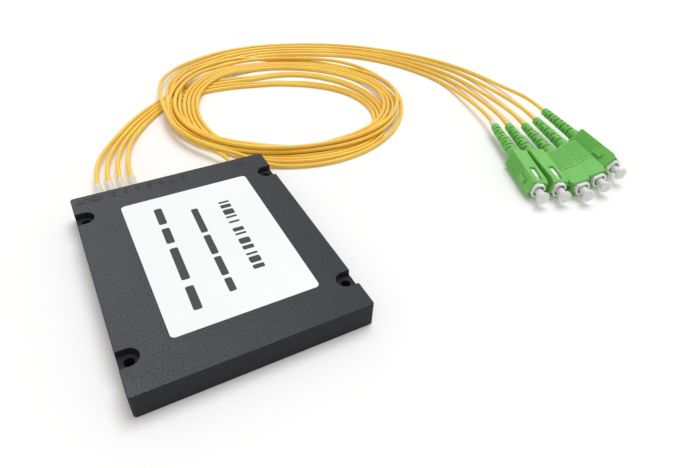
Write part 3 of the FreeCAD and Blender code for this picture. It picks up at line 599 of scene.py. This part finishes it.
def laySection(cable, path, first, last, fixed=False):      # set a stretch down on what already lies there
    gap = cableSetup["restGap"]
    if not fixed:
        need = np.full(len(path), cableSetup["floorHeight"])
        mine = splineSamples(path, first, last)
        for other, theirs in laid:
            flat = np.hypot(mine[:, None, 1] - theirs[None, :, 1], mine[:, None, 2] - theirs[None, :, 2])
            over = flat < gap
            if other == cable:
                over &= np.abs(mine[:, None, 0] - theirs[None, :, 0]) > cableSetup["ownSteps"]
            rise = np.sqrt(np.clip(gap ** 2 - flat ** 2, 0, None))
            top = np.where(over, theirs[None, :, 3] + rise, 0)
            np.maximum.at(need, mine[:, 0].astype(int), top.max(axis=1))
        for i in range(first, last):
            path[i, 2] = max(path[i, 2], need[max(i - 1, 0):i + 2].max())
    laid.append((cable, splineSamples(path, first, last)))


# the outputs go down first, turn by turn, the innermost before the others, and the input last
paths, sections = {}, {}
endPoints = len(plugEnd(inputCable))
for number in outputs:
    leadIn, turns, leadOut = outputPath(number)
    paths[number] = np.array(leadIn + turns + leadOut)
    sections[number] = (len(leadIn), len(leadIn) + cableSetup["stepsPerTurn"], len(leadIn) + len(turns))
    laySection(number, paths[number], 0, sections[number][0], fixed=True)
for turn in range(cableSetup["turns"]):
    for number in reversed(outputs):
        laySection(number, paths[number], sections[number][turn], sections[number][turn + 1])
for number in reversed(outputs):
    laySection(number, paths[number], sections[number][2], len(paths[number]) - endPoints)

inputCoil = coilTurns(inputTurns, cableSetup["inputFrom"])[1:]
inputPath = np.array(inputRoute + inputCoil + plugRoutes[inputCable - 1] + plugEnd(inputCable))
paths[inputCable] = inputPath
laySection(inputCable, inputPath, 0, len(inputRoute), fixed=True)
begin = len(inputRoute)
for turn in range(cableSetup["turns"]):
    laySection(inputCable, inputPath, begin, begin + cableSetup["stepsPerTurn"])
    begin += cableSetup["stepsPerTurn"]
laySection(inputCable, inputPath, begin, len(inputPath) - endPoints)


piecesOnCable = ("rounded_sleeve_%d", "rounded_boot_%d", "stop_body_%d", "rounded_plug_frame_%d",
                 "rounded_coupling_shell_%d", "ferrule_%d", "rounded_dust_cap_%d")


def makeCable(number, path):
    curve = bpy.data.curves.new("cable_%d" % number, "CURVE")
    curve.dimensions = "3D"
    spline = curve.splines.new("NURBS")
    spline.points.add(len(path) - 1)
    for point, place in zip(spline.points, path):
        point.co = (*place, 1.0)
    spline.order_u = 3
    spline.use_endpoint_u = True
    spline.resolution_u = 8
    curve.bevel_depth = cableSetup["radius"]
    curve.bevel_resolution = 3
    curve.use_fill_caps = True
    cable = bpy.data.objects.new("cable_%d" % number, curve)
    scene.collection.objects.link(cable)
    curve.materials.append(cableJacket)
    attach(cable, "splitter")
    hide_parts("lead_in_%d" % number, "lead_out_%d" % number)
    onCable = [name % number for name in piecesOnCable]
    if number == crimpSetup["number"]:
        onCable.append(crimpTube.name)
    return cable


for number, path in sorted(paths.items()):
    cable = makeCable(number, path)
    print("cable", number, "laid, top at %.1f mm" % (1000 * path[:, 2].max()))
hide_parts("cable_coil")


# markings moulded on the lid, read from the cables' side
markSetup = {
    "size": 0.0044,
    "raised": 0.00030,
    "sunk": 0.00002,
    "edge": 0.00004,
    "acrossFrom": -0.0285,      # port 1
    "pitch": 0.00465,
    "count": 8,
    "out": -0.0335,
    "in": 0.028,
    "along": 0.0466,
    "middle": 0.33,             # share of the letter height
}


def makeMark(text, across):
    setup = markSetup
    along = setup["along"] + setup["size"] * setup["middle"]
    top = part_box("lid")[1].z
    bpy.ops.object.text_add(location=(across, along, top - setup["sunk"]), rotation=(0, 0, math.pi))
    mark = bpy.context.object
    mark.data.body = text
    mark.data.size = setup["size"]
    mark.data.align_x = "CENTER"
    mark.data.extrude = setup["raised"] / 2
    mark.data.bevel_depth = setup["edge"]
    mark.data.resolution_u = 4
    bpy.ops.object.convert(target="MESH")
    bpy.ops.object.transform_apply(location=True, rotation=True, scale=True)
    return mark


marks = [makeMark("OUT", markSetup["out"])]
for i in range(markSetup["count"]):
    marks.append(makeMark(str(i + 1), markSetup["acrossFrom"] + i * markSetup["pitch"]))
marks.append(makeMark("IN", markSetup["in"]))
bpy.ops.object.select_all(action="DESELECT")
for mark in marks:
    mark.select_set(True)
bpy.context.view_layer.objects.active = marks[0]
bpy.ops.object.join()
portMarks = bpy.context.object
portMarks.name = "port_marks"
portMarks.data.materials.clear()
portMarks.data.materials.append(markPlastic)
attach(portMarks, "splitter")
print("port marks moulded")


# label print: plain bars and a bar pattern where a maker's words would go
printSetup = {
    "ink": 0.00002,
    "slant": 1.4,               # degrees the print is turned on the label
    "rows": [                   # across, bar width, then where each bar starts and how long it is
        (-0.0118, 0.0030, [(-0.0273, 0.0113), (-0.0126, 0.0172), (0.0075, 0.0090), (0.0191, 0.0100)]),
        (0.0010, 0.0026, [(-0.0242, 0.0066), (-0.0160, 0.0100), (-0.0044, 0.0110), (0.0084, 0.0151)]),
    ],
    "pattern": {"across": 0.0128, "width": 0.0042, "begin": -0.0175, "unit": 0.00108,
                "units": [2, 1, 3, 1, 1, 2, 2, 1, 3, 2, 1, 1, 2, 3, 1, 2, 1, 1, 3, 1, 2, 1, 1]},
    "corner": 0.22,             # rounding, as a share of a bar's shorter side
}


def makeBar(across, along, width, length):
    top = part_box("label")[1].z
    bpy.ops.mesh.primitive_plane_add(size=1, location=(across, along, top + printSetup["ink"]))
    bar = bpy.context.object
    bar.scale = (width, length, 1)
    bpy.ops.object.transform_apply(location=True, rotation=True, scale=True)
    bpy.ops.object.mode_set(mode="EDIT")
    bpy.ops.mesh.select_all(action="SELECT")
    bpy.ops.mesh.bevel(offset=min(width, length) * printSetup["corner"], segments=3, affect="VERTICES")
    bpy.ops.object.mode_set(mode="OBJECT")
    return bar


bpy.ops.object.select_all(action="DESELECT")
bars = []
for across, width, words in printSetup["rows"]:
    bars += [makeBar(across, begin + length / 2, width, length) for begin, length in words]
pattern = printSetup["pattern"]
along = pattern["begin"]
for i, units in enumerate(pattern["units"]):      # a bar, a space, a bar and so on
    length = units * pattern["unit"]
    if i % 2 == 0:
        bars.append(makeBar(pattern["across"], along + length / 2, pattern["width"], length))
    along += length
bpy.ops.object.select_all(action="DESELECT")
for bar in bars:
    bar.select_set(True)
bpy.context.view_layer.objects.active = bars[0]
bpy.ops.object.join()
labelPrint = bpy.context.object
labelPrint.name = "label_print"
labelPrint.rotation_euler.z = math.radians(-printSetup["slant"])
bpy.ops.object.transform_apply(location=True, rotation=True, scale=True)
labelPrint.data.materials.clear()
labelPrint.data.materials.append(printInk)
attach(labelPrint, "splitter")
print("label printed")


# floor, light
floorLook = {
    "size": 24.0, "place": (0.1, 0.1, 0.0),
    "dark": (0.935, 0.932, 0.925), "light": (0.955, 0.953, 0.948), "clouds": {"Scale": 3.0, "Detail": 2.0},
    "fixed": {"Roughness": 0.75, "Specular IOR Level": 0.15, "Emission Strength": 0.06},
}


def seenDirectly(tree):     # 1 for camera, mirror and glass rays, so that the background is white to them
    path = addNode(tree, "LightPath", {}).outputs
    seen = path["Is Camera Ray"]
    for ray in ("Is Glossy Ray", "Is Transmission Ray"):
        seen = addNode(tree, "Math", {0: seen, 1: path[ray]}, operation="ADD").outputs["Value"]
    return addNode(tree, "Math", {0: seen, 1: 1.0}, operation="MINIMUM").outputs["Value"]


def makeFloor():
    look = floorLook
    bpy.ops.mesh.primitive_plane_add(size=look["size"], location=look["place"])
    floor = bpy.context.object
    floor.name = "floor"
    material, tree, shader, place = startMaterial("floorPaper", look["fixed"])
    tree.links.new(seenDirectly(tree), shader.inputs["Emission Color"])
    cloud = addNode(tree, "TexNoise", {"Vector": place, **look["clouds"]})
    tree.links.new(mixColours(tree, cloud.outputs["Fac"], look["dark"], look["light"]),
                   shader.inputs["Base Color"])
    floor.data.materials.append(material)


lightSetup = {
    "world": (0.580, 0.563, 0.534),
    "backdrop": (1.0, 1.0, 1.0),
    "sun": {"place": (0.3, -0.2, 0.6), "turn": (-12, 18, 0), "strength": 1.50, "spread": 34,
            "tint": (0.96, 1.0, 1.07)},         # turn and spread in degrees
}


def makeLights():
    world = bpy.data.worlds.new("studio")
    scene.world = world
    world.use_nodes = True
    tree = world.node_tree
    background = tree.nodes["Background"]
    background.inputs["Strength"].default_value = 1.0
    colour = mixColours(tree, seenDirectly(tree), lightSetup["world"], lightSetup["backdrop"])
    tree.links.new(colour, background.inputs["Color"])
    sun = lightSetup["sun"]
    bpy.ops.object.light_add(type="SUN", location=sun["place"],
                             rotation=[math.radians(a) for a in sun["turn"]])
    lamp = bpy.context.object
    lamp.data.energy = sun["strength"]
    lamp.data.angle = math.radians(sun["spread"])
    lamp.data.color = sun["tint"]


makeFloor()
makeLights()
print("floor and light set")
